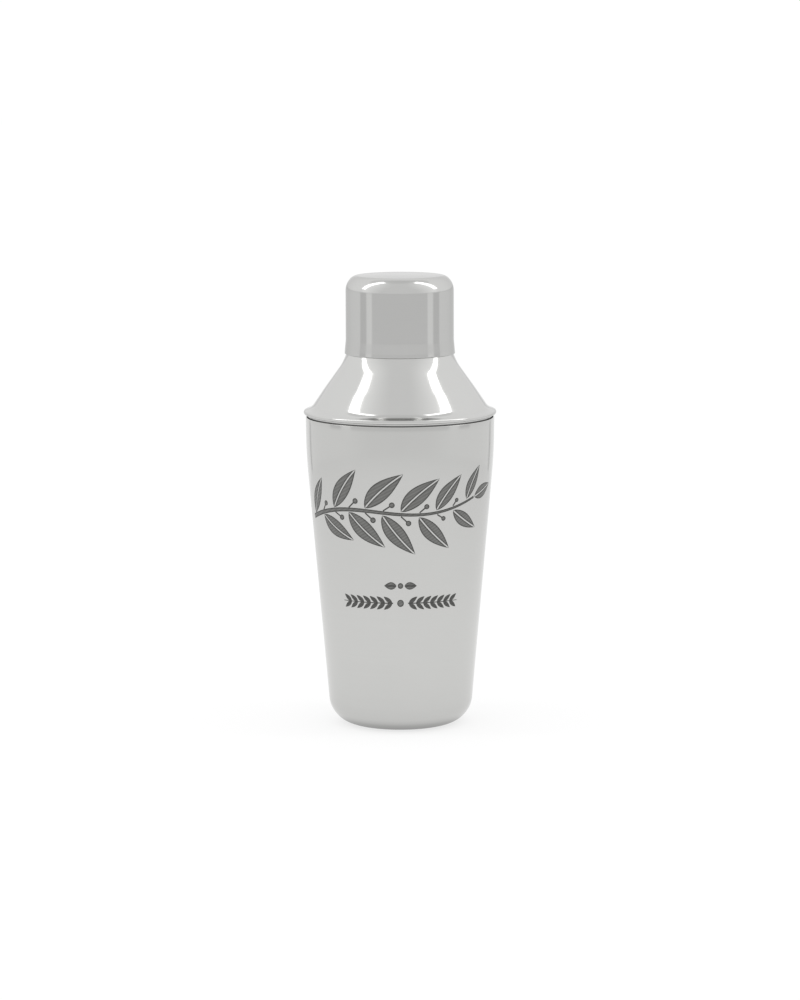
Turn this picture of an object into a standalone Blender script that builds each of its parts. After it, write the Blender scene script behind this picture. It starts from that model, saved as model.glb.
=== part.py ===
# Three-piece shaker in drawn stainless steel: a mixing cup, a strainer top that plugs into it, and a cap.
# Metres, +Z up. The origin is on the table, at the centre of the cup's foot.

import math

import bmesh
import bpy
from mathutils import Matrix, Vector

MM = 0.001

# How the pieces fit together
seat_gap = 0.3 * MM  # left under the cap's mouth, where it rests on the strainer top
bead_gap = 1.0 * MM  # the skirt wedges in the cup's mouth before the bead comes down on the rim
plug_clearance = 0.3 * MM  # radial, between the skirt and the cup
neck_clearance = 0.65 * MM  # radial, between the neck and the cap
crown_clearance = 7.4 * MM  # free height between the strainer plate and the cap's crown

# Mixing cup
cup_height = 123.25 * MM
cup_rim_radius = 37.5 * MM
cup_wall = 0.5 * MM
band_below_skirt = 6.2 * MM  # the straight band at the top reaches this far below the skirt
band_draft = 0.2 * MM
bend_radius = 205 * MM  # between the band and the tapered wall
foot_radius = 27.8 * MM  # where the tapered wall would meet the table
foot_corner_radius = 11.1 * MM
kick_up_height = 1.0 * MM  # the panel inside the foot ring is pressed up
kick_up_radius = 13.4 * MM
kick_up_slope_width = 1.2 * MM
kick_up_fillet = 0.8 * MM

# Strainer top: plate, neck, shoulder, folded bead and skirt are one sheet
strainer_wall = 0.5 * MM
skirt_depth = 9.5 * MM
skirt_draft = 0.15 * MM
bead_overhang = 0.8 * MM  # how far the bead stands out over the cup's rim
bead_nose_radius = 0.85 * MM
bead_root_fillet = 0.2 * MM
bead_drop = math.radians(19.5)  # slope of the bead's upper face, below horizontal
shoulder_foot_radius = 35.2 * MM
shoulder_foot_fillet = 8 * MM
shoulder_foot_lean = math.radians(34.2)  # slope of the shoulder's lower part, from vertical
shoulder_swell_radius = 29.7 * MM  # where the two slopes would meet
shoulder_swell_fillet = 80 * MM
shoulder_lean = math.radians(35.7)  # slope of its upper part, from vertical
neck_radius = 20.4 * MM
neck_blend_radius = 20.2 * MM
neck_height = 24 * MM  # from where the shoulder and the neck would meet, up to the plate
plate_edge_radius = 3 * MM
hole_radius = 1.6 * MM
hole_pitch = 6.2 * MM
hole_rings = 2
holes_per_ring_step = 6

# Cap
cap_wall = 0.4 * MM
cap_corner_radius = 7.4 * MM
cap_corner_slope = math.radians(44.5)  # from vertical, where the corner tightens into the crown's edge
crown_edge_radius = 4 * MM
crown_centre_radius = 0.5 * MM
crown_dome_radius = 520 * MM
crown_slope = math.radians(1.7)  # how steep the domed crown is where it meets its edge
cap_mouth_flare = 0.49 * MM
cap_flare_height = 5.4 * MM
cap_flare_radius = 12 * MM

# Finish
steel_colour = (0.60, 0.60, 0.59, 1.0)
steel_roughness = 0.16

# How finely curves are stepped, and what cutters run past
turn_steps = 48
edge_steps = 4
hole_steps = 12
curve_tolerance = 0.05 * MM
merge_distance = 0.001 * MM
cut_overrun = 2 * MM


def polished_steel(name):
    """One Principled BSDF for a polished steel piece."""
    material = bpy.data.materials.new(name)
    material.use_nodes = True
    shader = material.node_tree.nodes["Principled BSDF"]
    shader.inputs["Base Color"].default_value = steel_colour
    shader.inputs["Metallic"].default_value = 1.0
    shader.inputs["Roughness"].default_value = steel_roughness
    return material


def turn_at(before, spot, after):
    """The angle by which an outline turns at a corner, above zero to the left."""
    run_in = spot - before
    run_out = after - spot
    return math.atan2(run_in.cross(run_out), run_in.dot(run_out))


def fitted_radii(spots, radii, turns):
    """The fillet radii, each drawn in where two fillets would need more than the run between them."""
    reaches = [radius * math.tan(abs(turn) / 2) for radius, turn in zip(radii, turns)]
    shares = [1.0] * len(spots)
    for k in range(len(spots) - 1):
        room = (spots[k + 1] - spots[k]).length
        needed = max(reaches[k] + reaches[k + 1], room)
        for end in (k, k + 1):
            shares[end] = min(shares[end], room / needed)
    return [radius * share for radius, share in zip(radii, shares)]


def without_repeats(path):
    """The path with one point where two fillets meet and no run is left between them."""
    kept = path[:1]
    for spot in path[1:]:
        if (spot - kept[-1]).length > merge_distance:
            kept.append(spot)
    return kept


def filleted(corners):
    """The points of an outline given by its corners, each as radius from the axis, height and fillet."""
    spots = [Vector(corner[:2]) for corner in corners]
    turns = [turn_at(*spots[k - 1 : k + 2]) for k in range(1, len(spots) - 1)]
    turns = [0.0] + turns + [0.0]
    radii = fitted_radii(spots, [corner[2] for corner in corners], turns)
    path = [spots[0]]
    for k in range(1, len(spots) - 1):
        along = (spots[k] - spots[k - 1]).normalized()
        inward = Vector((-along.y, along.x)) * math.copysign(1, turns[k])
        start = spots[k] - along * radii[k] * math.tan(abs(turns[k]) / 2)
        centre = start + inward * radii[k]
        sweep = 2 * math.acos(1 - min(curve_tolerance / radii[k], 1))
        steps = max(2, math.ceil(abs(turns[k]) / sweep))
        for step in range(steps + 1):
            spoke = start - centre
            spoke.rotate(Matrix.Rotation(turns[k] * step / steps, 2))
            path.append(centre + spoke)
    path.append(spots[-1])
    return without_repeats(path)


def offset(path, distance):
    """The path moved sideways, to its left where distance is above zero, with mitred corners."""
    runs = [(b - a).normalized() for a, b in zip(path, path[1:])]
    lefts = [Vector((-run.y, run.x)) for run in runs]
    moved = []
    for spot, left_in, left_out in zip(path, lefts[:1] + lefts, lefts + lefts[-1:]):
        mitre = (left_in + left_out).normalized()
        moved.append(spot + mitre * distance / mitre.dot(left_in))
    return moved


def sheet_section(face, wall, side):
    """A sheet's section from its outer face, with its back to the left (side 1) or right (side -1).

    The free edge, at the end of the face, is fully rounded.
    """
    back = offset(face, wall * side)
    centre = (face[-1] + back[-1]) / 2
    edge = []
    for step in range(1, edge_steps):
        spoke = face[-1] - centre
        spoke.rotate(Matrix.Rotation(side * math.pi * step / edge_steps, 2))
        edge.append(centre + spoke)
    return face + edge + back[::-1]


def turned(name, section):
    """Spins a section about Z. Ends on the axis close as poles, and other ends are filled with a disc."""
    bm = bmesh.new()
    verts = [bm.verts.new((spot.x, 0, spot.y)) for spot in section]
    edges = [bm.edges.new(pair) for pair in zip(verts, verts[1:])]
    bmesh.ops.spin(
        bm,
        geom=verts + edges,
        cent=(0, 0, 0),
        axis=(0, 0, 1),
        angle=math.tau,
        steps=turn_steps,
        use_merge=True,
    )
    bmesh.ops.remove_doubles(bm, verts=bm.verts, dist=merge_distance)
    rims = [edge for edge in bm.edges if edge.is_boundary]
    bmesh.ops.holes_fill(bm, edges=rims, sides=turn_steps)
    bmesh.ops.recalc_face_normals(bm, faces=bm.faces)
    mesh = bpy.data.meshes.new(name)
    bm.to_mesh(mesh)
    bm.free()
    mesh.shade_smooth()
    mesh.set_sharp_from_angle(angle=math.radians(30))
    mesh.materials.append(polished_steel(name + "_steel"))
    piece = bpy.data.objects.new(name, mesh)
    bpy.context.scene.collection.objects.link(piece)
    return piece


# The folded bead stands over the cup's rim. Everything above it follows from there.
band_height = skirt_depth - bead_gap + band_below_skirt
bead_seat_height = cup_height + bead_gap
bead_radius = cup_rim_radius + bead_overhang
bead_nose_height = bead_nose_radius * (1 + math.tan((math.pi / 2 - bead_drop) / 2))
skirt_radius = cup_rim_radius - cup_wall - plug_clearance
shoulder_foot_height = (
    bead_seat_height + bead_nose_height + (bead_radius - shoulder_foot_radius) * math.tan(bead_drop)
)
shoulder_foot_rise = (shoulder_foot_radius - shoulder_swell_radius) / math.tan(shoulder_foot_lean)
shoulder_swell_height = shoulder_foot_height + shoulder_foot_rise
shoulder_top_height = shoulder_swell_height + (shoulder_swell_radius - neck_radius) / math.tan(shoulder_lean)
plate_height = shoulder_top_height + neck_height
cap_radius = neck_radius + neck_clearance + cap_wall
crown_height = plate_height + crown_clearance + cap_wall


def mixing_cup():
    """The cup, from the pressed-up panel under it to its rim."""
    face = filleted(
        [
            (0, kick_up_height, 0),
            (kick_up_radius - kick_up_slope_width, kick_up_height, kick_up_fillet),
            (kick_up_radius, 0, kick_up_fillet),
            (foot_radius, 0, foot_corner_radius),
            (cup_rim_radius - band_draft, cup_height - band_height, bend_radius),
            (cup_rim_radius, cup_height - cup_wall / 2, 0),
        ]
    )
    return turned("mixing_cup", sheet_section(face[1:], cup_wall, 1))


def hole_cutter():
    """A pin through the plate for each strainer hole, one in the centre and the rest in rings."""
    bm = bmesh.new()
    for ring in range(hole_rings + 1):
        count = max(1, ring * holes_per_ring_step)
        for k in range(count):
            place = Matrix.Rotation(math.tau * k / count, 4, "Z") @ Vector((ring * hole_pitch, 0, 0))
            place.z = plate_height - strainer_wall / 2
            bmesh.ops.create_cone(
                bm,
                cap_ends=True,
                segments=hole_steps,
                radius1=hole_radius,
                radius2=hole_radius,
                depth=strainer_wall + 2 * cut_overrun,
                matrix=Matrix.Translation(place),
            )
    mesh = bpy.data.meshes.new("strainer_hole_cutter")
    bm.to_mesh(mesh)
    bm.free()
    cutter = bpy.data.objects.new("strainer_hole_cutter", mesh)
    cutter.hide_render = True
    cutter.display_type = "WIRE"
    bpy.context.scene.collection.objects.link(cutter)
    return cutter


def strainer_top():
    """The strainer top, from its perforated plate down to the skirt's edge."""
    face = filleted(
        [
            (0, plate_height, 0),
            (neck_radius, plate_height, plate_edge_radius),
            (neck_radius, shoulder_top_height, neck_blend_radius),
            (shoulder_swell_radius, shoulder_swell_height, shoulder_swell_fillet),
            (shoulder_foot_radius, shoulder_foot_height, shoulder_foot_fillet),
            (bead_radius, bead_seat_height + bead_nose_height, bead_nose_radius),
            (bead_radius, bead_seat_height, bead_nose_radius),
            (skirt_radius, bead_seat_height, bead_root_fillet),
            (skirt_radius - skirt_draft, bead_seat_height - skirt_depth + strainer_wall / 2, 0),
        ]
    )
    piece = turned("strainer_top", sheet_section(face[1:], strainer_wall, -1))
    cut = piece.modifiers.new("strainer_holes", "BOOLEAN")
    cut.operation = "DIFFERENCE"
    cut.solver = "EXACT"
    cut.object = hole_cutter()
    return piece


def cap_mouth_height():
    """Where the cap's rounded mouth edge comes to rest on the curve between neck and shoulder."""
    curve_top = shoulder_top_height + neck_blend_radius * math.tan(shoulder_lean / 2)
    edge_radius = cap_radius + cap_mouth_flare - cap_wall / 2
    across = neck_radius + neck_blend_radius - edge_radius
    apart = neck_blend_radius - cap_wall / 2 - seat_gap
    return curve_top - math.sqrt(apart**2 - across**2)


def cap():
    """The cap, from its slightly domed crown down to the flared mouth."""
    mouth_height = cap_mouth_height()
    dome_edge = crown_centre_radius + crown_dome_radius * math.tan(crown_slope / 2)
    edge_turn = math.pi / 2 - cap_corner_slope - crown_slope
    edge_reach = crown_edge_radius * math.tan(edge_turn / 2)
    corner_run = edge_reach + cap_corner_radius * math.tan(cap_corner_slope / 2)
    crown_edge = cap_radius - corner_run * math.sin(cap_corner_slope)
    crown_edge_height = crown_height - (crown_edge - dome_edge) * math.tan(crown_slope)
    corner_height = crown_edge_height - corner_run * math.cos(cap_corner_slope)
    face = filleted(
        [
            (0, crown_height, 0),
            (dome_edge, crown_height, crown_dome_radius),
            (crown_edge, crown_edge_height, crown_edge_radius),
            (cap_radius, corner_height, cap_corner_radius),
            (cap_radius, mouth_height + cap_flare_height, cap_flare_radius),
            (cap_radius + cap_mouth_flare, mouth_height, 0),
        ]
    )
    return turned("cap", sheet_section(face, cap_wall, -1))


def clear_scene():
    for old in list(bpy.data.objects):
        bpy.data.objects.remove(old, do_unlink=True)


clear_scene()
mixing_cup()
strainer_top()
cap()
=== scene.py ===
# Three-piece shaker in drawn steel: mixing cup, strainer top and cap, with an etched sprig on the cup.
# Metres, +Z up. The front faces -Y. Every piece is turned about Z.
import math

import bmesh
import bpy
from mathutils import Matrix, Vector


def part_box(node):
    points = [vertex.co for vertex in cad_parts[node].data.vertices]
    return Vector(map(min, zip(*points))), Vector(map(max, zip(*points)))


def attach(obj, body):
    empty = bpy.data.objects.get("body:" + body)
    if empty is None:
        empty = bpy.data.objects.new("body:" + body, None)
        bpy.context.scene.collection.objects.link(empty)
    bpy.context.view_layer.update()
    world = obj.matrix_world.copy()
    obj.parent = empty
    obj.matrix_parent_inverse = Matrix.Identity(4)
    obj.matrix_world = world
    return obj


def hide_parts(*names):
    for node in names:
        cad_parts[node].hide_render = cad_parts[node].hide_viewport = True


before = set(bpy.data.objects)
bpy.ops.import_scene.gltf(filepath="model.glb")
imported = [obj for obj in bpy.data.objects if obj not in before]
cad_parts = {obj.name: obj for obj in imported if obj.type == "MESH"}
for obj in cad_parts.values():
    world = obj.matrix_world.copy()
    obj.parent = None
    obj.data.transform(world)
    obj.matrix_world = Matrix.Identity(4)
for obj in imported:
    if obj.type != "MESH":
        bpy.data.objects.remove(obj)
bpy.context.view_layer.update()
print("frame: nodes", sorted(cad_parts))

mm = 0.001
degree = math.pi / 180

# How finely the turned shells are stepped, and how their free edges are rounded
turning = {
    "segments": 192,
    "arcStep": 2.5 * degree,
    "arcRun": 1.6 * mm,
    "wallRun": 2.4 * mm,
    "mergeDistance": 0.0005 * mm,
    "rimShare": 0.49,
    "rimSteps": 5,
    "sharpFrom": 35 * degree,
    "edgeFrom": 50 * degree,
}


# Profiles: a wire in the XZ plane, from the axis outwards

def runTo(bm, tip, end):
    gap = (end - tip.co).length
    steps = math.ceil(gap / turning["wallRun"] - 0.01)
    start = tip.co.copy()
    for step in range(1, steps + 1):
        grown = bmesh.ops.extrude_vert_indiv(bm, verts=[tip])
        tip = grown["verts"][0]
        tip.co = start.lerp(end, step / steps)
    return tip


def drawProfile(bm, corners):
    # each corner is its radius, height and fillet; a fillet is the tip spun about the arc's centre
    spots = [Vector((radius, 0, height)) for radius, height, fillet in corners]
    tip = bm.verts.new(spots[0])
    for before, spot, after, corner in zip(spots, spots[1:], spots[2:], corners[1:]):
        runIn = (spot - before).normalized()
        runOut = (after - spot).normalized()
        turn = math.atan2(runIn.cross(runOut).y, runIn.dot(runOut))
        fillet = corner[2]
        tip = runTo(bm, tip, spot - runIn * fillet * math.tan(abs(turn) / 2))
        side = Vector((0, math.copysign(1, turn), 0)).cross(runIn)
        steps = max(
            math.ceil(abs(turn) / turning["arcStep"]),
            math.ceil(abs(turn) * fillet / turning["arcRun"]),
        )
        arc = bmesh.ops.spin(
            bm,
            geom=[tip],
            cent=tip.co + side * fillet,
            axis=(0, 1, 0),
            angle=turn,
            steps=steps,
            use_merge=False,
        )
        tip = [item for item in arc["geom_last"] if isinstance(item, bmesh.types.BMVert)][0]
    return runTo(bm, tip, spots[-1])


def spinRound(bm, steps):
    bmesh.ops.spin(
        bm,
        geom=bm.verts[:] + bm.edges[:],
        cent=(0, 0, 0),
        axis=(0, 0, 1),
        angle=math.tau,
        steps=steps,
        use_merge=True,
    )


def spinProfile(bm):
    spinRound(bm, turning["segments"])
    bmesh.ops.remove_doubles(bm, verts=bm.verts[:], dist=turning["mergeDistance"])


def outerRadius(bm, height):
    # where the profile's wall crosses a height
    for edge in bm.edges:
        low, high = sorted((vert.co for vert in edge.verts), key=lambda spot: spot.z)
        if low.z <= height <= high.z and high.z > low.z:
            share = (height - low.z) / (high.z - low.z)
            return low.lerp(high, share).x
    return 0


def thicken(bm, wall):
    # the skin drawn so far is the outer face; the wall grows inwards
    bmesh.ops.recalc_face_normals(bm, faces=bm.faces[:])
    widest = max(bm.faces, key=lambda face: face.calc_center_median().xy.length)
    if widest.normal.xy.dot(widest.calc_center_median().xy) < 0:
        bmesh.ops.reverse_faces(bm, faces=bm.faces[:])
    bmesh.ops.solidify(bm, geom=bm.faces[:], thickness=wall)


def roundEdges(bm, edges, width, segments):
    bmesh.ops.bevel(
        bm,
        geom=edges,
        offset=width,
        offset_type="OFFSET",
        affect="EDGES",
        segments=segments,
        profile=0.5,
        material=-1,
        clamp_overlap=True,
    )


def sharpEdgesNear(bm, height, reach):
    found = []
    for edge in bm.edges:
        level = all(abs(vert.co.z - height) < reach for vert in edge.verts)
        if level and len(edge.link_faces) == 2 and edge.calc_face_angle(0) > turning["edgeFrom"]:
            found.append(edge)
    return found


def roundRim(bm, height, wall):
    # the free edge of a shell, as round as its wall is thick
    roundEdges(bm, sharpEdgesNear(bm, height, wall / 2), wall * turning["rimShare"], turning["rimSteps"])


def placePiece(bm, name, material):
    mesh = bpy.data.meshes.new(name)
    bm.to_mesh(mesh)
    bm.free()
    mesh.materials.append(material)
    piece = bpy.data.objects.new(name, mesh)
    bpy.context.scene.collection.objects.link(piece)
    return piece


def finishPiece(bm, name, material, body):
    piece = placePiece(bm, name, material)
    piece.data.shade_smooth()
    piece.data.set_sharp_from_angle(angle=turning["sharpFrom"])
    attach(piece, body)
    return piece


# Materials

def newTree(name):
    material = bpy.data.materials.new(name)
    material.use_nodes = True
    return material, material.node_tree


def addNode(tree, kind, **settings):
    node = tree.nodes.new(kind)
    for key, value in settings.items():
        setattr(node, key, value)
    return node


def join(tree, source, target):
    tree.links.new(source, target)


def mathNode(tree, operation, first, second=None):
    node = addNode(tree, "ShaderNodeMath", operation=operation)
    for socket, value in zip(node.inputs, (first, second)):
        if isinstance(value, (int, float)):
            socket.default_value = value
        elif value is not None:
            join(tree, value, socket)
    return node.outputs[0]


def weighted(tree, *parts):
    # the sum of each value times its weight
    total = None
    for value, weight in parts:
        part = mathNode(tree, "MULTIPLY", value, weight)
        total = part if total is None else mathNode(tree, "ADD", total, part)
    return total


def objectAxes(tree):
    split = addNode(tree, "ShaderNodeSeparateXYZ")
    join(tree, addNode(tree, "ShaderNodeTexCoord").outputs["Object"], split.inputs[0])
    return split.outputs


def axisDistance(tree, x, y):
    squares = mathNode(tree, "ADD", mathNode(tree, "MULTIPLY", x, x), mathNode(tree, "MULTIPLY", y, y))
    return mathNode(tree, "SQRT", squares)


def rangeNode(tree, value, fromLow, fromHigh, toLow, toHigh):
    node = addNode(tree, "ShaderNodeMapRange")
    join(tree, value, node.inputs["Value"])
    node.inputs["From Min"].default_value = fromLow
    node.inputs["From Max"].default_value = fromHigh
    node.inputs["To Min"].default_value = toLow
    node.inputs["To Max"].default_value = toHigh
    return node.outputs["Result"]


def noiseNode(tree, vector, scale, detail=2.0, roughness=0.5):
    node = addNode(tree, "ShaderNodeTexNoise")
    join(tree, vector, node.inputs["Vector"])
    node.inputs["Scale"].default_value = scale
    node.inputs["Detail"].default_value = detail
    node.inputs["Roughness"].default_value = roughness
    return node.outputs["Fac"]


def colourBetween(tree, share, dark, light):
    node = addNode(tree, "ShaderNodeMix", data_type="RGBA")
    join(tree, share, node.inputs["Factor"])
    for socket, colour in zip([s for s in node.inputs if s.type == "RGBA"], (dark, light)):
        socket.default_value = (*colour, 1)
    return [s for s in node.outputs if s.type == "RGBA"][0]


def darkened(tree, colour, share):
    node = addNode(tree, "ShaderNodeVectorMath", operation="SCALE")
    join(tree, colour, node.inputs[0])
    join(tree, share, node.inputs["Scale"])
    return node.outputs[0]


def bumpNode(tree, height, distance, before=None):
    node = addNode(tree, "ShaderNodeBump")
    node.inputs["Strength"].default_value = 1.0
    node.inputs["Distance"].default_value = distance
    join(tree, height, node.inputs["Height"])
    if before is not None:
        join(tree, before, node.inputs["Normal"])
    return node.outputs["Normal"]


def turnedVector(tree, acrossScale, alongScale):
    # lines that run round the piece: fine across radius and height, slow along the turn
    x, y, z = objectAxes(tree)
    radius = axisDistance(tree, x, y)
    drift = mathNode(tree, "ADD", x, mathNode(tree, "MULTIPLY", y, 1.7))
    merged = addNode(tree, "ShaderNodeCombineXYZ")
    join(tree, mathNode(tree, "MULTIPLY", radius, acrossScale), merged.inputs[0])
    join(tree, mathNode(tree, "MULTIPLY", z, acrossScale), merged.inputs[1])
    join(tree, mathNode(tree, "MULTIPLY", drift, alongScale), merged.inputs[2])
    return merged.outputs[0]


def seamShade(tree, line):
    # 1 everywhere but in a ring where the skirt sits in the cup's mouth, darkened as painted shade of the
    # crevice under the bead
    x, y, z = objectAxes(tree)
    soft = line["soft"]
    outside = rangeNode(tree, axisDistance(tree, x, y), line["inner"], line["inner"] + soft, 0, 1)
    above = rangeNode(tree, z, line["low"] - soft, line["low"], 0, 1)
    below = rangeNode(tree, z, line["high"], line["high"] + soft, 1, 0)
    ring = mathNode(tree, "MULTIPLY", mathNode(tree, "MULTIPLY", above, below), outside)
    return rangeNode(tree, ring, 0, 1, 1, line["tone"])


def markInside(bm, core):
    # an attribute, 1 on the faces that look at a point on the axis, which are those inside the shell
    bm.normal_update()
    inside = bm.faces.layers.float.new("inside")
    for face in bm.faces:
        toCore = Vector((0, 0, core)) - face.calc_center_median()
        face[inside] = float(face.normal.dot(toCore) > 0)


def polishedSteel(name, look):
    material, tree = newTree(name)
    shader = tree.nodes["Principled BSDF"]
    spot = addNode(tree, "ShaderNodeTexCoord").outputs["Object"]
    lines = noiseNode(tree, turnedVector(tree, look["lineScale"], look["lineDrift"]), 1.0, 3.0, 0.6)
    smudges = noiseNode(tree, spot, look["smudgeScale"], 4.0, 0.55)
    swell = noiseNode(tree, spot, look["swellScale"], 1.0, 0.4)
    mixed = weighted(tree, (lines, 0.6), (smudges, 0.4))
    colour = colourBetween(tree, mixed, look["dark"], look["light"])
    # painted shade: the skirt's ring in the crevice under the bead is darkened
    if "seamShade" in look:
        colour = darkened(tree, colour, seamShade(tree, look["seamShade"]))
    join(tree, colour, shader.inputs["Base Color"])
    gloss = weighted(tree, (lines, 0.35), (smudges, 0.65))
    rough = rangeNode(tree, gloss, 0.3, 0.7, look["roughLow"], look["roughHigh"])
    # the inside is left satin
    inside = addNode(tree, "ShaderNodeAttribute", attribute_name="inside").outputs["Fac"]
    satin = mathNode(tree, "MULTIPLY", inside, look["satin"])
    join(tree, mathNode(tree, "ADD", rough, satin), shader.inputs["Roughness"])
    normal = bumpNode(tree, swell, look["swellDepth"])
    normal = bumpNode(tree, lines, look["lineDepth"], normal)
    join(tree, normal, shader.inputs["Normal"])
    shader.inputs["Metallic"].default_value = 1.0
    tint = look["edgeTint"]
    shader.inputs["Specular Tint"].default_value = (tint, tint, tint, 1)
    return material


# Mixing cup

cup = {
    "wall": 0.5 * mm,
    "bandHeight": 14.7 * mm,
    "bandDraft": 0.2 * mm,
    "bendRadius": 205 * mm,
    "footRadius": 27.8 * mm,
    "footCorner": 11.1 * mm,
    "panelRise": 1.0 * mm,
    "panelRadius": 13.4 * mm,
    "panelSlope": 1.2 * mm,
    "panelFillet": 0.8 * mm,
}
cupSteel = {
    "dark": (0.575, 0.575, 0.563),
    "light": (0.625, 0.625, 0.613),
    "edgeTint": 0.97,
    "roughLow": 0.08,
    "roughHigh": 0.13,
    "lineScale": 5200,
    "lineDrift": 60,
    "lineDepth": 0.0011 * mm,
    "smudgeScale": 45,
    "swellScale": 55,
    "swellDepth": 0.02 * mm,
    "satin": 0.4,
    "core": 60 * mm,
}


def cupProfile(bm):
    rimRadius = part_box("mixing_cup")[1].x
    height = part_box("mixing_cup")[1].z
    return drawProfile(
        bm,
        [
            (0, cup["panelRise"], 0),
            (cup["panelRadius"] - cup["panelSlope"], cup["panelRise"], cup["panelFillet"]),
            (cup["panelRadius"], 0, cup["panelFillet"]),
            (cup["footRadius"], 0, cup["footCorner"]),
            (rimRadius - cup["bandDraft"], height - cup["bandHeight"], cup["bendRadius"]),
            (rimRadius, height, 0),
        ],
    )


def makeCup():
    bm = bmesh.new()
    cupProfile(bm)
    spinProfile(bm)
    thicken(bm, cup["wall"])
    roundRim(bm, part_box("mixing_cup")[1].z, cup["wall"])
    markInside(bm, cupSteel["core"])
    piece = finishPiece(bm, "cupShell", polishedSteel("cupSteel", cupSteel), "cup")
    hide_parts("mixing_cup")
    print("cup: faces", len(piece.data.polygons))


# Strainer top

strainer = {
    "wall": 0.5 * mm,
    "beadGap": 1.0 * mm,
    "skirtRadius": 36.7 * mm,
    "skirtDraft": 0.15 * mm,
    "beadNose": 0.85 * mm,
    "beadRoot": 0.2 * mm,
    "beadDrop": 19.5 * degree,
    "footRadius": 35.2 * mm,
    "footFillet": 5 * mm,
    "footLean": 34.2 * degree,
    "swellRadius": 29.7 * mm,
    "swellFillet": 80 * mm,
    "shoulderLean": 35.7 * degree,
    "neckRadius": 20.4 * mm,
    "neckBlend": 20.2 * mm,
    "plateEdge": 3.0 * mm,
    "plateLand": 0.5 * mm,
    "holeRadius": 1.6 * mm,
    "holePitch": 6.2 * mm,
    "holeRings": 2,
    "holeSides": 32,
    "holeEdge": 0.09 * mm,
    "holeEdgeSteps": 2,
}
strainerSteel = dict(
    cupSteel,
    dark=(0.59, 0.59, 0.58),
    light=(0.63, 0.63, 0.62),
    edgeTint=0.86,
    roughLow=0.07,
    roughHigh=0.12,
    lineDepth=0.0007 * mm,
    core=130 * mm,
    # painted shade in the crevice between the bead and the cup's rim
    seamShade={"inner": 36.4 * mm, "low": 122.9 * mm, "high": 123.65 * mm, "soft": 0.1 * mm, "tone": 0.24},
)


def strainerHeights():
    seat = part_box("mixing_cup")[1].z + strainer["beadGap"]
    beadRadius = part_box("strainer_top")[1].x
    nose = seat + strainer["beadNose"] * (1 + math.tan((math.pi / 2 - strainer["beadDrop"]) / 2))
    foot = nose + (beadRadius - strainer["footRadius"]) * math.tan(strainer["beadDrop"])
    swell = foot + (strainer["footRadius"] - strainer["swellRadius"]) / math.tan(strainer["footLean"])
    shoulder = swell + (strainer["swellRadius"] - strainer["neckRadius"]) / math.tan(strainer["shoulderLean"])
    return {"seat": seat, "nose": nose, "foot": foot, "swell": swell, "shoulder": shoulder}


def plateRim():
    return strainer["neckRadius"] - strainer["plateEdge"] - strainer["plateLand"]


def addCircle(bm, segments, radius, spot):
    bmesh.ops.create_circle(bm, segments=segments, radius=radius, matrix=Matrix.Translation(spot))


def plateWithHoles(bm):
    # the flat plate inside its land, as one filled outline with round holes in rings
    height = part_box("strainer_top")[1].z
    spots = [Vector((0, 0, height))]
    for ring in range(1, strainer["holeRings"] + 1):
        for k in range(6 * ring):
            turn = Matrix.Rotation(math.tau * k / (6 * ring), 3, "Z")
            spots.append(turn @ Vector((ring * strainer["holePitch"], 0, 0)) + spots[0])
    before = set(bm.edges)
    addCircle(bm, turning["segments"], plateRim(), spots[0])
    for spot in spots:
        addCircle(bm, strainer["holeSides"], strainer["holeRadius"], spot)
    outlines = [edge for edge in bm.edges if edge not in before]
    bmesh.ops.triangle_fill(bm, use_beauty=True, use_dissolve=False, edges=outlines, normal=(0, 0, 1))


def makeStrainer():
    level = strainerHeights()
    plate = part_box("strainer_top")[1].z
    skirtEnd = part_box("strainer_top")[0].z
    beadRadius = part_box("strainer_top")[1].x
    neck = strainer["neckRadius"]
    bm = bmesh.new()
    drawProfile(
        bm,
        [
            (plateRim(), plate, 0),
            (neck, plate, strainer["plateEdge"]),
            (neck, level["shoulder"], strainer["neckBlend"]),
            (strainer["swellRadius"], level["swell"], strainer["swellFillet"]),
            (strainer["footRadius"], level["foot"], strainer["footFillet"]),
            (beadRadius, level["nose"], strainer["beadNose"]),
            (beadRadius, level["seat"], strainer["beadNose"]),
            (strainer["skirtRadius"], level["seat"], strainer["beadRoot"]),
            (strainer["skirtRadius"] - strainer["skirtDraft"], skirtEnd, 0),
        ],
    )
    spinProfile(bm)
    plateWithHoles(bm)
    bmesh.ops.remove_doubles(bm, verts=bm.verts[:], dist=turning["mergeDistance"] * 10)
    thicken(bm, strainer["wall"])
    roundRim(bm, skirtEnd, strainer["wall"])
    lips = sharpEdgesNear(bm, plate, strainer["wall"] * 1.2)
    roundEdges(bm, lips, strainer["holeEdge"], strainer["holeEdgeSteps"])
    markInside(bm, strainerSteel["core"])
    steel = polishedSteel("strainerSteel", strainerSteel)
    piece = finishPiece(bm, "strainerShell", steel, "strainer")
    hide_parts("strainer_top")
    print("strainer top: faces", len(piece.data.polygons))


# Cap

cap = {
    "wall": 0.4 * mm,
    "radius": 21.45 * mm,
    "corner": 6.8 * mm,
    "cornerSlope": 46.5 * degree,
    "crownEdge": 3.9 * mm,
    "crownFlat": 0.5 * mm,
    "crownDome": 520 * mm,
    "crownSlope": 1.7 * degree,
    "mouthFlare": 0.49 * mm,
    "flareHeight": 5.4 * mm,
    "flareRadius": 12 * mm,
}
capSteel = dict(
    cupSteel,
    dark=(0.575, 0.575, 0.566),
    light=(0.618, 0.618, 0.608),
    edgeTint=0.76,
    roughLow=0.07,
    roughHigh=0.12,
    lineDepth=0.0007 * mm,
    core=160 * mm,
)


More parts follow.
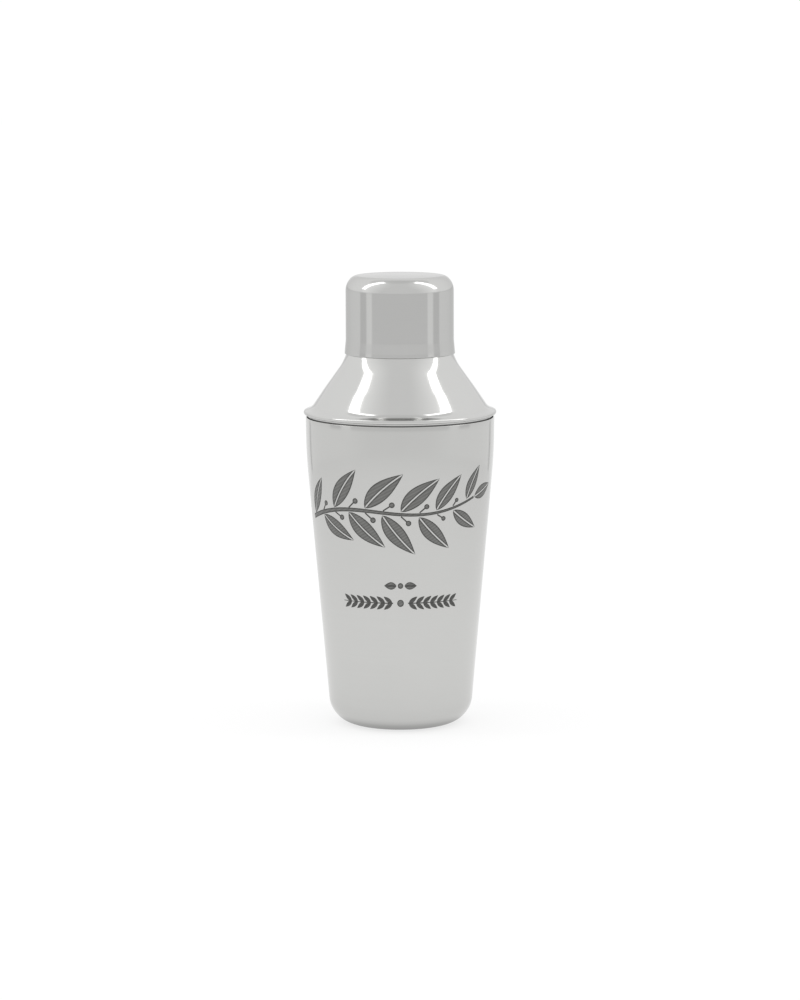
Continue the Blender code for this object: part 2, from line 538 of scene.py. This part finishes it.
def makeCap():
    low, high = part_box("cap")
    domeEdge = cap["crownFlat"] + cap["crownDome"] * math.tan(cap["crownSlope"] / 2)
    edgeTurn = math.pi / 2 - cap["cornerSlope"] - cap["crownSlope"]
    cornerRun = cap["crownEdge"] * math.tan(edgeTurn / 2) + cap["corner"] * math.tan(cap["cornerSlope"] / 2)
    edgeRadius = cap["radius"] - cornerRun * math.sin(cap["cornerSlope"])
    edgeHeight = high.z - (edgeRadius - domeEdge) * math.tan(cap["crownSlope"])
    cornerHeight = edgeHeight - cornerRun * math.cos(cap["cornerSlope"])
    bm = bmesh.new()
    drawProfile(
        bm,
        [
            (0, high.z, 0),
            (domeEdge, high.z, cap["crownDome"]),
            (edgeRadius, edgeHeight, cap["crownEdge"]),
            (cap["radius"], cornerHeight, cap["corner"]),
            (cap["radius"], low.z + cap["flareHeight"] + cap["wall"] / 2, cap["flareRadius"]),
            (cap["radius"] + cap["mouthFlare"], low.z, 0),
        ],
    )
    spinProfile(bm)
    thicken(bm, cap["wall"])
    roundRim(bm, low.z, cap["wall"])
    markInside(bm, capSteel["core"])
    piece = finishPiece(bm, "capShell", polishedSteel("capSteel", capSteel), "cap")
    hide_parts("cap")
    print("cap: faces", len(piece.data.polygons))


# Etched marks: flat shapes drawn in millimetres of wall, then wrapped round the cup

etching = {
    "proud": 0.03 * mm,
    "depth": 0.05 * mm,
    "wrapRadius": 35.6 * mm,
    "mapSize": 100 * mm,
    "mergeDistance": 0.004 * mm,
    "hatchPitch": 1.15 * mm,
    "hatchTurn": 62 * degree,
    "thinFace": 1e-12,
    "leafSteps": (18, 4),
    "leafPeak": 0.82,
    "leafRound": 0.9,
    "veinShare": 0.45,
    "berrySides": 28,
    "outline": 0.6,
    "outlineTone": 0.5,
    "dark": (0.125, 0.125, 0.12),
    "light": (0.235, 0.235, 0.228),
    "roughLow": 0.38,
    "roughHigh": 0.52,
    "lineDepth": 0.006 * mm,
}
sprig = {
    "height": 89.3 * mm,
    "start": -45.5 * mm,
    "end": 33.0 * mm,
    "rise": 9 * mm,
    "wave": 2.6 * mm,
    "stemWide": 1.9 * mm,
    "stemThin": 0.9 * mm,
    "leaves": 11,
    "firstLeaf": 0.02,
    "leafSpan": 0.92,
    "leastSize": 0.7,
    "leafLength": 20.5 * mm,
    "leafWidth": 3.7 * mm,
    "leafLean": 53 * degree,
    "leafCurl": 0.15,
    "leafGap": 1.25 * mm,
    "veinGap": 0.55 * mm,
    "stalk": 0.22,
    "stalkLean": 40 * degree,
    "stalkBend": 0.4,
    "stalkWidth": 0.55 * mm,
    "berryRadius": 1.15 * mm,
    "berryReach": 1.2,
    "tipGap": 0.5 * mm,
    "tipLength": 0.64,
    "tipWidth": 0.72,
}
border = {
    "height": 53.2 * mm,
    "halfWidth": 26.6 * mm,
    "leafPairs": 7,
    "leafLength": 4.5 * mm,
    "leafWidth": 0.85 * mm,
    "leafLean": 36 * degree,
    "lineFrom": 3.2 * mm,
    "leavesFrom": 3.6 * mm,
    "leavesShort": 4.6 * mm,
    "lineWidth": 0.5 * mm,
    "lineTaper": 0.5,
    "middleRadius": 1.4375 * mm,
    "budHeight": 60.2 * mm,
    "budGap": 1.7 * mm,
    "budLeaf": 5.2 * mm,
    "budWidth": 1.5 * mm,
    "budRadius": 1.15 * mm,
}


def etchedSteel():
    material, tree = newTree("etchedSteel")
    shader = tree.nodes["Principled BSDF"]
    flat = addNode(tree, "ShaderNodeUVMap", uv_map="wallMap").outputs[0]
    turn = addNode(tree, "ShaderNodeMapping")
    turn.inputs["Rotation"].default_value = (0, 0, etching["hatchTurn"])
    join(tree, flat, turn.inputs["Vector"])
    hatch = addNode(tree, "ShaderNodeTexWave", wave_type="BANDS", bands_direction="X", wave_profile="SIN")
    # a wave of scale 1 has tau / 20 of the map to a band
    hatch.inputs["Scale"].default_value = etching["mapSize"] * math.tau / 20 / etching["hatchPitch"]
    hatch.inputs["Distortion"].default_value = 0.6
    hatch.inputs["Detail"].default_value = 2.0
    hatch.inputs["Detail Scale"].default_value = 1.5
    join(tree, turn.outputs[0], hatch.inputs["Vector"])
    patches = noiseNode(tree, flat, 22.0, 5.0, 0.6)
    grain = noiseNode(tree, flat, 900.0, 2.0, 0.6)
    lines = hatch.outputs["Fac"]
    shade = weighted(tree, (lines, 0.38), (patches, 0.42), (grain, 0.2))
    inward = addNode(tree, "ShaderNodeSeparateXYZ")
    join(tree, addNode(tree, "ShaderNodeUVMap", uv_map="edgeMap").outputs[0], inward.inputs[0])
    outline = etching["outline"]
    inside = rangeNode(tree, inward.outputs[0], outline * 0.5, outline, etching["outlineTone"], 1)
    fill = colourBetween(tree, shade, etching["dark"], etching["light"])
    join(tree, darkened(tree, fill, inside), shader.inputs["Base Color"])
    rough = rangeNode(tree, shade, 0.2, 0.8, etching["roughHigh"], etching["roughLow"])
    join(tree, rough, shader.inputs["Roughness"])
    join(tree, bumpNode(tree, lines, etching["lineDepth"]), shader.inputs["Normal"])
    shader.inputs["Metallic"].default_value = 0.85
    return material


def flatArt():
    # every vertex keeps how far it lies inside its shape, in millimetres
    bm = bmesh.new()
    bm.verts.layers.float.new("edgeGap")
    return bm


def setDown(bm, verts, spot, turn=0.0, flip=1):
    spin = Matrix.Rotation(turn, 4, "Z") @ Matrix.Diagonal((1, flip, 1, 1))
    bmesh.ops.transform(bm, matrix=Matrix.Translation((spot[0], spot[1], 0)) @ spin, verts=verts)


def bandAlong(bm, line, widthAt, steps):
    # a ribbon that follows line(share) from 0 to 1, with the width widthAt(share)
    edgeGap = bm.verts.layers.float["edgeGap"]
    made = bmesh.ops.create_grid(bm, x_segments=steps, y_segments=2, size=0.5)
    for vert in made["verts"]:
        share = min(max(vert.co.x + 0.5, 0), 1)
        side = vert.co.y
        ahead = (line(share + 0.001) - line(share - 0.001)).normalized()
        vert[edgeGap] = (0.5 - abs(side)) * widthAt(share) / mm
        vert.co = (line(share) + Vector((-ahead.y, ahead.x)) * side * widthAt(share)).to_3d()


def leaf(bm, spot, turn, shape):
    # two half blades with a bare vein between them
    edgeGap = bm.verts.layers.float["edgeGap"]
    length, width = shape["length"], shape["width"]
    along, across = etching["leafSteps"]
    for flip in (1, -1):
        made = bmesh.ops.create_grid(bm, x_segments=along, y_segments=across, size=0.5)
        for vert in made["verts"]:
            u = min(max(vert.co.x + 0.5, 0), 1)
            v = min(max(vert.co.y + 0.5, 0), 1)
            swell = math.sin(math.pi * u ** etching["leafPeak"]) if 0 < u < 1 else 0
            blade = width * swell ** etching["leafRound"]
            inner = min(shape["vein"] / 2, blade * etching["veinShare"])
            edge = inner + v * (blade - inner)
            vert[edgeGap] = min(v, 1 - v) * (blade - inner) / mm
            vert.co = (u * length, edge + flip * shape["curl"] * length * u * u, 0)
        setDown(bm, made["verts"], spot, turn, flip)


def berry(bm, spot, radius):
    edgeGap = bm.verts.layers.float["edgeGap"]
    made = bmesh.ops.create_circle(bm, cap_ends=True, segments=etching["berrySides"], radius=radius)
    setDown(bm, made["verts"], spot)
    faces = list({face for vert in made["verts"] for face in vert.link_faces})
    poked = bmesh.ops.poke(bm, faces=faces)
    for vert in poked["verts"]:
        vert[edgeGap] = radius / mm


def wrapOnCup(bm, name, material, wall):
    # closes each flat shape into a thin body and bends it round the cup's wall
    bmesh.ops.remove_doubles(bm, verts=bm.verts[:], dist=etching["mergeDistance"])
    thin = [face for face in bm.faces if face.calc_area() < etching["thinFace"]]
    bmesh.ops.delete(bm, geom=thin, context="FACES_ONLY")
    faceDown = [face for face in bm.faces if face.normal.z < 0]
    bmesh.ops.reverse_faces(bm, faces=faceDown)
    flatMap = bm.loops.layers.uv.new("wallMap")
    edgeMap = bm.loops.layers.uv.new("edgeMap")
    edgeGap = bm.verts.layers.float["edgeGap"]
    grown = bmesh.ops.extrude_face_region(bm, geom=bm.faces[:], use_keep_orig=True)
    lifted = [item for item in grown["geom"] if isinstance(item, bmesh.types.BMVert)]
    bmesh.ops.translate(bm, verts=lifted, vec=(0, 0, etching["depth"]))
    bmesh.ops.translate(bm, verts=bm.verts[:], vec=(0, 0, etching["proud"] - etching["depth"]))
    bmesh.ops.recalc_face_normals(bm, faces=bm.faces[:])
    for face in bm.faces:
        for loop in face.loops:
            loop[flatMap].uv = loop.vert.co.xy / etching["mapSize"]
            loop[edgeMap].uv = (loop.vert[edgeGap], 0)
    for vert in bm.verts:
        angle = vert.co.x / etching["wrapRadius"]
        radius = outerRadius(wall, vert.co.y) + vert.co.z
        vert.co = (radius * math.sin(angle), -radius * math.cos(angle), vert.co.y)
    piece = finishPiece(bm, name, material, "cup")
    print(name + ": faces", len(piece.data.polygons))


def sprigLine(share):
    across = sprig["rise"] * (share - 0.5) + sprig["wave"] * math.sin(math.tau * share)
    return Vector((sprig["start"] + (sprig["end"] - sprig["start"]) * share, sprig["height"] + across))


def sprigTurn(share):
    ahead = sprigLine(share + 0.002) - sprigLine(share - 0.002)
    return math.atan2(ahead.y, ahead.x)


def stemWidth(share):
    return sprig["stemWide"] + (sprig["stemThin"] - sprig["stemWide"]) * share


def heading(turn):
    return Vector((math.cos(turn), math.sin(turn)))


def addBerry(stem, berries, share, side, size):
    # a bent stalk on the other side of the stem from the leaf at the same place
    spot = sprigLine(share)
    turn = sprigTurn(share) - side * sprig["stalkLean"]
    ahead = heading(turn)
    length = sprig["leafLength"] * size
    bend = Vector((-ahead.y, ahead.x)) * side * sprig["leafCurl"] * sprig["stalkBend"] / length
    reach = sprig["stalk"] * length

    def stalkLine(part):
        run = sprig["leafGap"] + (reach - sprig["leafGap"]) * part
        return spot + ahead * run + bend * run * run

    bandAlong(stem, stalkLine, lambda part: sprig["stalkWidth"], 12)
    radius = sprig["berryRadius"] * size
    berry(berries, stalkLine(1 + sprig["berryReach"] * radius / reach), radius)


def makeSprig(material, wall):
    stem, leaves, berries = flatArt(), flatArt(), flatArt()
    bandAlong(stem, sprigLine, stemWidth, 96)
    last = sprig["leaves"] - 1
    for k in range(sprig["leaves"]):
        share = sprig["firstLeaf"] + sprig["leafSpan"] * k / last
        side = 1 if k % 2 == 0 else -1
        size = sprig["leastSize"] + (1 - sprig["leastSize"]) * math.sin(math.pi * min(share + 0.1, 1))
        shape = {
            "length": sprig["leafLength"] * size,
            "width": sprig["leafWidth"] * size,
            "vein": sprig["veinGap"],
            "curl": -side * sprig["leafCurl"],
        }
        turn = sprigTurn(share) + side * sprig["leafLean"]
        leaf(leaves, sprigLine(share) + heading(turn) * sprig["leafGap"], turn, shape)
        if 0 < k < last:
            addBerry(stem, berries, share, side, size)
    tip = {
        "length": sprig["leafLength"] * sprig["tipLength"],
        "width": sprig["leafWidth"] * sprig["tipWidth"],
        "vein": sprig["veinGap"],
        "curl": 0.0,
    }
    leaf(leaves, sprigLine(1.0) + Vector((sprig["tipGap"], 0)), sprigTurn(1.0), tip)
    wrapOnCup(stem, "etchedStem", material, wall)
    wrapOnCup(leaves, "etchedLeaves", material, wall)
    wrapOnCup(berries, "etchedBerries", material, wall)


def makeBorder(material, wall):
    bm = flatArt()
    level = border["height"]
    reach = border["halfWidth"]
    small = {"length": border["leafLength"], "width": border["leafWidth"], "vein": 0.0, "curl": 0.0}
    bud = {"length": border["budLeaf"], "width": border["budWidth"], "vein": 0.0, "curl": 0.0}
    for side in (-1, 1):
        start, end = Vector((side * border["lineFrom"], level)), Vector((side * reach, level))
        bandAlong(
            bm,
            lambda share: start.lerp(end, share),
            lambda share: border["lineWidth"] * (1 - border["lineTaper"] * share),
            28,
        )
        for k in range(border["leafPairs"]):
            x = side * (border["leavesFrom"] + (reach - border["leavesShort"]) * k / border["leafPairs"])
            for tilt in (1, -1):
                turn = tilt * border["leafLean"]
                leaf(bm, (x, level), turn if side > 0 else math.pi - turn, small)
        leaf(bm, (side * border["budGap"], border["budHeight"]), 0.0 if side > 0 else math.pi, bud)
    berry(bm, (0, border["budHeight"]), border["budRadius"])
    berry(bm, (0, level), border["middleRadius"])
    wrapOnCup(bm, "etchedBorder", material, wall)


def makeMarks():
    wall = bmesh.new()
    cupProfile(wall)
    material = etchedSteel()
    makeSprig(material, wall)
    makeBorder(material, wall)
    wall.free()


# Studio: pale floor, white surroundings and two strip lights

studio = {
    "floorSize": 12.0,
    "floorDrop": 0.05 * mm,
    "floorColour": (0.86, 0.86, 0.86, 1),
    "floorGlow": 0.72,
    # what polished metal sees above the room; each pair is a range of one part of the direction
    "worldFront": 0.855,
    "worldBack": 1.02,
    "frontEdge": (-0.08, 0.08),
    "overheadReach": 0.45,
    "overheadFrom": (0.74, 0.86),
    "aboveTone": -0.09,
    "aboveFrom": (0.93, 0.99),
    "lampGlow": 0.25,
    "glowAside": (0.2, 0.6),
    "glowRise": (-0.75, -0.22),
    "glowFall": (-0.1, 0.05),
    "worldDiffuse": 1.2,
    "stripRadiance": 1.75,
    "stripLength": 0.86,
    "stripWidth": 0.168,
    "stripHeight": 49.8 * degree,
    "stripDistance": 1.0,
    "stripForward": 0.076,
}
# The room that polished metal sees round the table: a low wall and the floor that runs up to it
room = {
    "radius": 0.6,
    "top": 0.205,
    "segments": 120,
    "floorLift": 0.02 * mm,
    "floorFrom": 0.018,
    "floorFull": 0.575,
    "blendLow": 0.045,
    "blendHigh": 0.09,
    # metres from the axis and tone of the floor, darker near the foot as a painted contact shadow that
    # polished metal reflects
    "floorTones": (
        (0.018, 0.34),
        (0.022, 0.49),
        (0.0235, 0.58),
        (0.0255, 0.75),
        (0.0275, 0.86),
        (0.031, 0.89),
        (0.042, 0.91),
        (0.058, 0.93),
        (0.08, 0.955),
        (0.12, 0.975),
        (0.17, 0.975),
        (0.25, 0.955),
        (0.36, 0.93),
        (0.5, 0.895),
        (0.6, 0.87),
    ),
    # degrees from the front and tone, as the cap's wall sees it and as the cup's does
    "upperTones": (
        (0, 0.75),
        (59, 0.75),
        (62, 0.93),
        (73, 0.91),
        (76, 0.7),
        (90, 0.7),
        (93, 0.87),
        (140, 0.88),
        (165, 0.96),
        (180, 0.98),
    ),
    "lowerTones": (
        (0, 0.85),
        (35, 0.86),
        (61, 0.90),
        (83, 0.91),
        (110, 0.91),
        (137.5, 0.91),
        (139, 0.64),
        (142.5, 0.64),
        (143.5, 0.94),
        (180, 0.93),
    ),
    "fadeLow": 0.15,
    "fadeHigh": 0.19,
    "fadeTone": 0.8,
    "fadeShare": 0.75,
}


def seenRays(tree):
    # 1 for camera, glossy and transmission rays, which see the white surroundings
    path = addNode(tree, "ShaderNodeLightPath").outputs
    seen = mathNode(tree, "MAXIMUM", path["Is Camera Ray"], path["Is Glossy Ray"])
    return mathNode(tree, "MAXIMUM", seen, path["Is Transmission Ray"]), path["Is Camera Ray"]


def makeWorld():
    world = bpy.data.worlds.new("studioWorld")
    world.use_nodes = True
    bpy.context.scene.world = world
    tree = world.node_tree
    tree.nodes.clear()
    seen, camera = seenRays(tree)
    split = addNode(tree, "ShaderNodeSeparateXYZ")
    join(tree, addNode(tree, "ShaderNodeTexCoord").outputs["Generated"], split.inputs[0])
    across, back, up = split.outputs
    # straight overhead the front's darker tone reaches further back
    lean = rangeNode(tree, up, *studio["overheadFrom"], 0, studio["overheadReach"])
    depth = mathNode(tree, "SUBTRACT", back, lean)
    tone = rangeNode(tree, depth, *studio["frontEdge"], studio["worldFront"], studio["worldBack"])
    # darker straight above, and a soft glow on the front side of the lamps
    above = rangeNode(tree, up, *studio["aboveFrom"], 0, studio["aboveTone"])
    front = rangeNode(tree, depth, *studio["frontEdge"], 1, 0)
    tone = mathNode(tree, "ADD", tone, mathNode(tree, "MULTIPLY", above, front))
    aside = rangeNode(tree, mathNode(tree, "ABSOLUTE", across), *studio["glowAside"], 0, studio["lampGlow"])
    rise = rangeNode(tree, back, *studio["glowRise"], 0, 1)
    fall = rangeNode(tree, back, *studio["glowFall"], 1, 0)
    glow = mathNode(tree, "MULTIPLY", aside, mathNode(tree, "MINIMUM", rise, fall))
    tone = mathNode(tree, "ADD", tone, glow)
    tone = mathNode(tree, "MAXIMUM", tone, camera)
    around = addNode(tree, "ShaderNodeBackground")
    join(tree, tone, around.inputs["Strength"])
    fill = addNode(tree, "ShaderNodeBackground")
    fill.inputs["Strength"].default_value = studio["worldDiffuse"]
    for background in (around, fill):
        background.inputs["Color"].default_value = (1, 1, 1, 1)
    blend = addNode(tree, "ShaderNodeMixShader")
    join(tree, seen, blend.inputs[0])
    join(tree, fill.outputs[0], blend.inputs[1])
    join(tree, around.outputs[0], blend.inputs[2])
    join(tree, blend.outputs[0], addNode(tree, "ShaderNodeOutputWorld").inputs[0])


def stagePiece(bm, name, material):
    piece = placePiece(bm, name, material)
    return piece


def makeFloor():
    bm = bmesh.new()
    bmesh.ops.create_grid(bm, x_segments=1, y_segments=1, size=studio["floorSize"] / 2)
    bmesh.ops.translate(bm, verts=bm.verts[:], vec=(0, 0, -studio["floorDrop"]))
    material, tree = newTree("floorWhite")
    tree.nodes.clear()
    seen, _ = seenRays(tree)
    matt = addNode(tree, "ShaderNodeBsdfDiffuse")
    matt.inputs["Color"].default_value = studio["floorColour"]
    glow = addNode(tree, "ShaderNodeEmission")
    glow.inputs["Strength"].default_value = 1.0
    blend = addNode(tree, "ShaderNodeMixShader")
    join(tree, mathNode(tree, "MULTIPLY", seen, studio["floorGlow"]), blend.inputs[0])
    join(tree, matt.outputs[0], blend.inputs[1])
    join(tree, glow.outputs[0], blend.inputs[2])
    join(tree, blend.outputs[0], addNode(tree, "ShaderNodeOutputMaterial").inputs[0])
    stagePiece(bm, "studioFloor", material)


def toneRamp(tree, share, full, tones):
    # tones as pairs of a place, in shares of the full range, and a grey
    ramp = addNode(tree, "ShaderNodeValToRGB")
    join(tree, share, ramp.inputs["Fac"])
    stops = ramp.color_ramp.elements
    for k, (spot, tone) in enumerate(tones):
        stop = stops[0] if k == 0 else stops[-1] if k == len(tones) - 1 else stops.new(spot / full)
        stop.position = spot / full
        stop.color = (tone, tone, tone, 1)
    return ramp.outputs["Color"]


def mixTones(tree, share, first, second):
    node = addNode(tree, "ShaderNodeMix", data_type="FLOAT")
    for socket, value in zip([s for s in node.inputs if s.type == "VALUE"], (share, first, second)):
        if isinstance(value, (int, float)):
            socket.default_value = value
        else:
            join(tree, value, socket)
    return node.outputs[0]


def roomGlow():
    material, tree = newTree("roomGlow")
    tree.nodes.clear()
    glow = addNode(tree, "ShaderNodeEmission")
    join(tree, glow.outputs[0], addNode(tree, "ShaderNodeOutputMaterial").inputs[0])
    x, y, z = objectAxes(tree)
    front = mathNode(tree, "MULTIPLY", y, -1)
    turn = mathNode(tree, "ABSOLUTE", mathNode(tree, "ARCTAN2", x, front))
    turn = mathNode(tree, "DIVIDE", turn, math.pi)
    lower = toneRamp(tree, turn, 180, room["lowerTones"])
    upper = toneRamp(tree, turn, 180, room["upperTones"])
    wall = mixTones(tree, rangeNode(tree, z, room["blendLow"], room["blendHigh"], 0, 1), lower, upper)
    fade = rangeNode(tree, z, room["fadeLow"], room["fadeHigh"], 0, room["fadeShare"])
    wall = mixTones(tree, fade, wall, room["fadeTone"])
    reach = axisDistance(tree, x, y)
    outwards = mathNode(tree, "DIVIDE", reach, room["radius"])
    # the floor's tones carry a painted contact shadow by the foot
    floor = toneRamp(tree, outwards, room["radius"], room["floorTones"])
    near = rangeNode(tree, reach, room["floorFull"], room["radius"] * 0.99, 0, 1)
    join(tree, mixTones(tree, near, floor, wall), glow.inputs["Strength"])
    return material


def makeRoom():
    bm = bmesh.new()
    lift = room["floorLift"]
    spots = [(room["floorFrom"], lift), (room["radius"], lift), (room["radius"], room["top"])]
    verts = [bm.verts.new((0, -reach, height)) for reach, height in spots]
    for pair in zip(verts, verts[1:]):
        bm.edges.new(pair)
    spinRound(bm, room["segments"])
    # only polished metal sees the room
    piece = stagePiece(bm, "roomWall", roomGlow())
    piece.visible_camera = False
    piece.visible_diffuse = False
    piece.visible_transmission = False
    piece.visible_shadow = False


def makeStrip(side):
    light = bpy.data.lights.new("stripLight", "AREA")
    light.shape = "RECTANGLE"
    light.size = studio["stripLength"]
    light.size_y = studio["stripWidth"]
    light.energy = studio["stripRadiance"] * math.pi * light.size * light.size_y
    lamp = bpy.data.objects.new("stripLight", light)
    bpy.context.scene.collection.objects.link(lamp)
    rise = studio["stripHeight"]
    away = Vector((side * math.cos(rise), 0, math.sin(rise)))
    along = Vector((-side * math.sin(rise), 0, math.cos(rise)))
    turn = Matrix((along, away.cross(along), away)).transposed().to_4x4()
    spot = away * studio["stripDistance"] + Vector((0, -studio["stripForward"], 0))
    lamp.matrix_world = Matrix.Translation(spot) @ turn
    lamp.visible_camera = False


def makeStudio():
    makeWorld()
    makeFloor()
    makeRoom()
    for side in (-1, 1):
        makeStrip(side)
    print("studio ready")


# Camera, at the photograph's viewing angle

view = {
    "place": (-0.0001, -1.5, 0.30046),
    "pitch": 8.004 * degree,
    "roll": -0.16 * degree,
    "lens": 136.71,
    "sensor": 36,
    "near": 0.1,
    "far": 50,
}


def makeCamera():
    data = bpy.data.cameras.new("photoCamera")
    data.lens = view["lens"]
    data.sensor_width = view["sensor"]
    data.clip_start = view["near"]
    data.clip_end = view["far"]
    camera = bpy.data.objects.new("photoCamera", data)
    bpy.context.scene.collection.objects.link(camera)
    tilt = Matrix.Rotation(math.pi / 2 - view["pitch"], 4, "X")
    roll = Matrix.Rotation(view["roll"], 4, "Z")
    camera.matrix_world = Matrix.Translation(view["place"]) @ tilt @ roll
    bpy.context.scene.camera = camera


bpy.context.scene.view_settings.view_transform = "Standard"
makeCamera()
makeCup()
makeStrainer()
makeCap()
makeMarks()
makeStudio()
